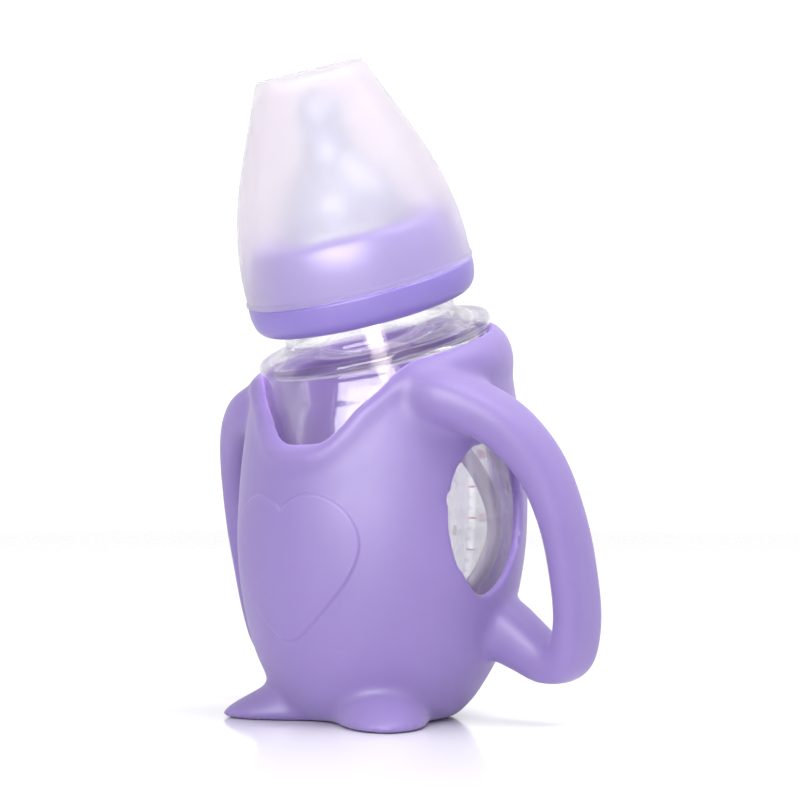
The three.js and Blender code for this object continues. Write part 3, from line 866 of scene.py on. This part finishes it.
def disc_mark(x, y, radius, petals=0):
    """A dot, or a flower with petals."""
    points = []
    for i in range(48):
        angle = TURN * i / 48
        reach = radius * (1 + 0.28 * math.cos(petals * angle)) if petals else radius
        points.append((x + reach * math.cos(angle), y + reach * math.sin(angle)))
    return flat_mark(points)


def bar_mark(x, y, width, height):
    return flat_mark([(x, y - height / 2), (x + width, y - height / 2), (x + width, y + height / 2),
                      (x, y + height / 2)])


def digits_mark(text, x, y, size):
    """Printed digits, as a flat mesh."""
    curve = bpy.data.curves.new("digits", "FONT")
    curve.body = text
    curve.size = size
    curve.align_x = "LEFT"
    curve.align_y = "CENTER"
    obj = bpy.data.objects.new("digits", curve)
    bpy.context.scene.collection.objects.link(obj)
    bpy.context.view_layer.update()
    mesh = bpy.data.meshes.new_from_object(obj.evaluated_get(bpy.context.evaluated_depsgraph_get()))
    bm = bmesh.new()
    bm.from_mesh(mesh)
    bmesh.ops.translate(bm, vec=(x, y, 0), verts=bm.verts)
    bpy.data.objects.remove(obj)
    bpy.data.curves.remove(curve)
    bpy.data.meshes.remove(mesh)
    return bm


def printed(name, marks, material):
    """Wraps flat marks on the glass as one thin piece."""
    whole = move_points(merged(marks), lambda co: on_glass(co.x, co.y))
    bmesh.ops.recalc_face_normals(whole, faces=whole.faces)
    obj = piece(name, whole)
    ink = obj.modifiers.new("ink", "SOLIDIFY")
    ink.thickness = 0.05 * MM
    ink.offset = 1
    settle(obj)
    obj.data.materials.clear()
    obj.data.materials.append(material)
    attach(obj, "bottle")
    return obj


def printed_scale():
    red, grey, gold, green = [], [], [], []
    first, last, step = 26, 80, 9
    for i, height in enumerate(range(first, last, step)):
        red.append(bar_mark(-5.6, height, 3.2, 0.5))
        red.append(digits_mark(str(30 * (i + 1)), -12.4, height, 3.4))
        red.append(bar_mark(6 + 2 * (i % 2), height - 3, 2.4, 0.6))
        for dot in (1, 2):
            grey.append(disc_mark(-2.6, height + dot * step / 3, 0.36))
    for x, height in ((-9.5, 40.5), (7.4, 50), (-10.5, 64), (8.2, 70), (-9, 31)):
        gold.append(disc_mark(x, height, 1.5, petals=5))
    for x, height in ((2.6, 49.6), (9.5, 58), (3, 67), (8, 38)):
        green.append(bar_mark(x, height, 0.6, 2.8))
    printed("printed_ticks", red, print_ink("print_red", (0.62, 0.05, 0.10), (0.70, 0.09, 0.14)))
    printed("printed_dots", grey, print_ink("print_grey", (0.20, 0.18, 0.24), (0.27, 0.25, 0.31)))
    printed("printed_flowers", gold, print_ink("print_gold", (0.85, 0.30, 0.02), (0.90, 0.38, 0.04)))
    printed("printed_leaves", green, print_ink("print_green", (0.48, 0.55, 0.15), (0.55, 0.62, 0.20)))


# ---- Stage -------------------------------------------------------------------------------------

def stage_floor():
    bm = bmesh.new()
    bmesh.ops.create_grid(bm, x_segments=2, y_segments=2, size=FLOOR_REACH)
    floor = piece("floor", bm, metres=False)
    material, tree, shader = new_material("floor", IOR=1.4, Specular_IOR_Level=0.5)
    varied_colour(tree, shader, noise(tree, 2, 1), (0.90, 0.895, 0.905), (0.915, 0.91, 0.915))
    varied_roughness(tree, shader, noise(tree, 30, 2), 0.10, 0.14)
    floor.data.materials.append(material)


def area_light(name, place, target, size, power, colour=(1, 1, 1)):
    lamp = bpy.data.lights.new(name, "AREA")
    lamp.shape = "RECTANGLE"
    lamp.size, lamp.size_y = size
    lamp.energy = power
    lamp.color = colour
    obj = bpy.data.objects.new(name, lamp)
    obj.location = place
    obj.rotation_euler = (Vector(target) - Vector(place)).to_track_quat("-Z", "Y").to_euler()
    bpy.context.scene.collection.objects.link(obj)
    return obj


def studio_light():
    world = bpy.data.worlds.new("studio")
    world.use_nodes = True
    tree = world.node_tree
    background = tree.nodes["Background"]
    background.inputs["Color"].default_value = (1, 1, 1, 1)
    path = tree.nodes.new("ShaderNodeLightPath")
    strength = tree.nodes.new("ShaderNodeMapRange")
    strength.inputs["To Min"].default_value = BACKDROP_SEEN
    strength.inputs["To Max"].default_value = BACKDROP_LIGHT
    tree.links.new(path.outputs["Is Diffuse Ray"], strength.inputs["Value"])
    tree.links.new(strength.outputs["Result"], background.inputs["Strength"])
    bpy.context.scene.world = world
    bpy.context.scene.view_settings.view_transform = "Standard"
    area_light("front_softbox", (0.30, -0.70, 0.42), STAGE_MIDDLE, (0.5, 0.3), 2.8)
    area_light("top_softbox", (0.28, 0.06, 0.75), STAGE_MIDDLE, (0.5, 0.5), 5.5)
    glint = area_light("glass_glint", (0.30, -0.74, 0.34), STAGE_MIDDLE, (0.74, 0.38), 17)
    glint.visible_diffuse = False
    inside = area_light("neck_fill", (0, -0.002, 0.108), (0, 0.004, 0.02), (0.034, 0.034), 0.034,
                        (1, 0.84, 1))
    inside.visible_camera = False
    inside.visible_glossy = False
    inside.visible_transmission = False


def camera():
    azimuth = math.radians(41.55)
    distance, height, aim = 0.477, 0.053, 0.085
    lens = bpy.data.cameras.new("camera")
    lens.lens = 79.2
    lens.sensor_width = 36
    lens.shift_x = 0.030
    lens.clip_start = 0.02
    obj = bpy.data.objects.new("camera", lens)
    obj.location = (math.sin(azimuth) * distance, -math.cos(azimuth) * distance, height)
    obj.rotation_euler = (Vector((0, 0, aim)) - obj.location).to_track_quat("-Z", "Y").to_euler()
    bpy.context.scene.collection.objects.link(obj)
    bpy.context.scene.camera = obj


LOOKS = {
    "lilac_silicone": silicone_lilac(), "clear_glass": glass_clear(), "lilac_plastic": plastic_lilac(),
    "frosted_plastic": plastic_frosted(), "clear_silicone": silicone_clear(),
    "white_plastic": plastic_white(), "cream_silicone": silicone_cream(), "steel": steel_polished(),
}

camera()
silicone_sleeve()
glass_bottle()
screw_collar()
dome_cap()
teat()
straw_adaptor()
straw_tube()
weight()
printed_scale()
stage_floor()
studio_light()
